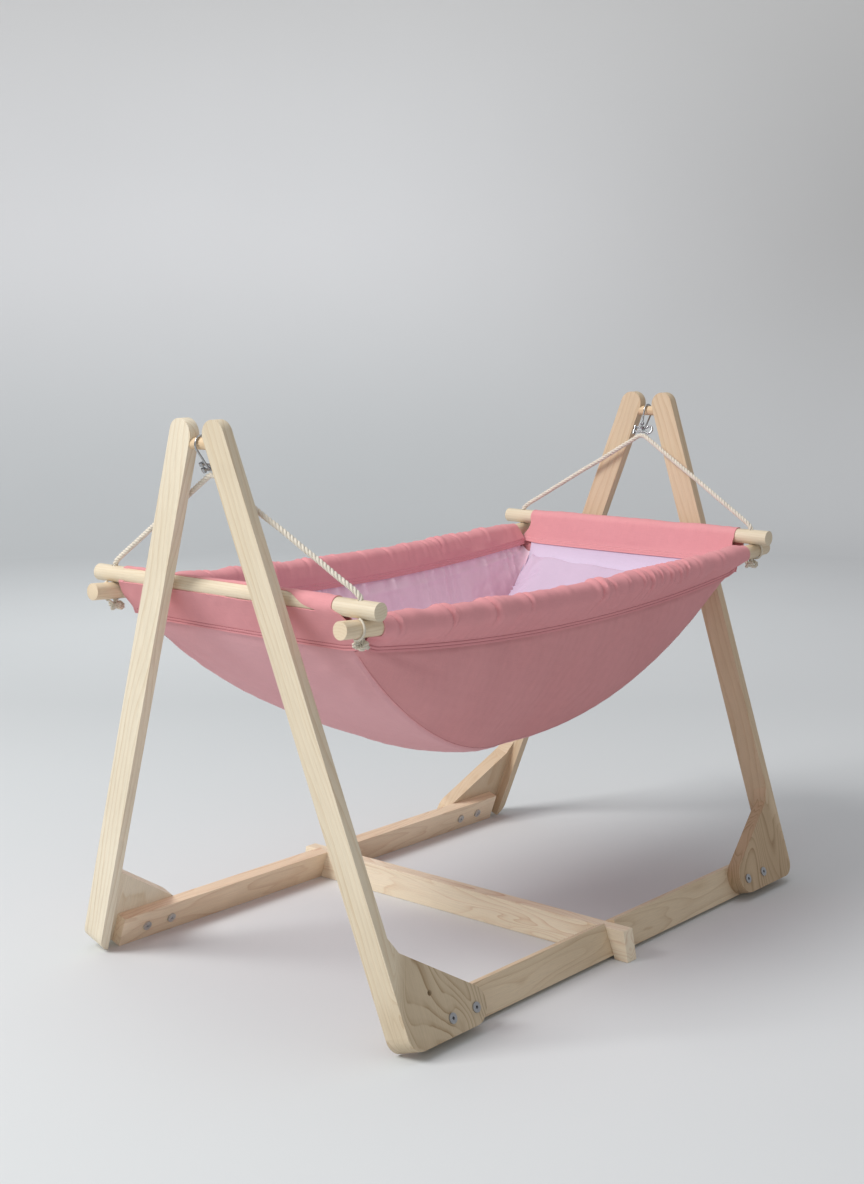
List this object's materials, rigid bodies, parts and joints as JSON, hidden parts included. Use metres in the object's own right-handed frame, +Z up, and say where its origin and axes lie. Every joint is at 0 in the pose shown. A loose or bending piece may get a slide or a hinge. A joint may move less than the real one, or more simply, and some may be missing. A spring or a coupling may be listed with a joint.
{
  "type": "swinging cradle on stand",
  "caption": "Baby cradle with a fabric sling on round wooden rods, hung by ropes and snap hooks from a leaning wooden stand so that it swings sideways",
  "frame": {"origin": "on the floor under the middle of the stand", "axes": "+X along the cradle from the near end to the far end, +Y across it to the left, +Z up"},
  "size_m": [1.1038, 0.695, 0.8365],
  "materials": {
    "pine": "planed pine board, clear matt finish, straight grain",
    "dowel_wood": "turned softwood rod, clear matt finish",
    "zinc_steel": "zinc plated, slightly dull",
    "bright_steel": "bright plated wire",
    "cotton_rope": "three-strand laid cotton rope, off-white",
    "salmon_cotton": "plain weave cotton, dusty salmon pink",
    "lilac_cotton": "plain weave cotton, pale lilac"
  },
  "bodies": {
    "stand": {"near_right_leg": "pine", "near_left_leg": "pine", "far_right_leg": "pine", "far_left_leg": "pine", "right_side_rail": "pine", "left_side_rail": "pine", "cross_rail": "pine", "near_top_peg": "dowel_wood", "far_top_peg": "dowel_wood", "frame_bolts": "zinc_steel", "frame_sleeve_nuts": "zinc_steel"},
    "cradle": {"near_snap_hook": "bright_steel", "far_snap_hook": "bright_steel", "near_gate_pin": "bright_steel", "far_gate_pin": "bright_steel", "near_shackle": "bright_steel", "far_shackle": "bright_steel", "near_shackle_pin": "bright_steel", "far_shackle_pin": "bright_steel", "near_rope": "cotton_rope", "far_rope": "cotton_rope", "near_right_knot": "cotton_rope", "near_left_knot": "cotton_rope", "far_right_knot": "cotton_rope", "far_left_knot": "cotton_rope", "near_end_rod": "dowel_wood", "far_end_rod": "dowel_wood", "right_side_rod": "dowel_wood", "left_side_rod": "dowel_wood", "near_end_sleeve": "salmon_cotton", "far_end_sleeve": "salmon_cotton", "right_side_hem": "salmon_cotton", "left_side_hem": "salmon_cotton", "sling_shell": "salmon_cotton", "sling_liner": "lilac_cotton", "mattress_pad": "lilac_cotton"},
    "near_gate": {"near_hook_gate": "bright_steel"},
    "far_gate": {"far_hook_gate": "bright_steel"}
  },
  "joints": [
    {"name": "cradle_swing", "type": "hinge", "parent": "stand", "child": "cradle", "pos_m": [0, 0, 0.8115], "axis": [1, 0, 0], "range_deg": [-15, 15]},
    {"name": "near_gate_hinge", "type": "hinge", "parent": "cradle", "child": "near_gate", "pos_m": [-0.52096, 0, 0.78053], "axis": [0, -1, 0], "range_deg": [0, 25], "stiffness_Nm_per_rad": 0.02, "springref_deg": -11.46},
    {"name": "far_gate_hinge", "type": "hinge", "parent": "cradle", "child": "far_gate", "pos_m": [0.52096, 0, 0.78053], "axis": [0, 1, 0], "range_deg": [0, 25], "stiffness_Nm_per_rad": 0.02, "springref_deg": -11.46}
  ]
}
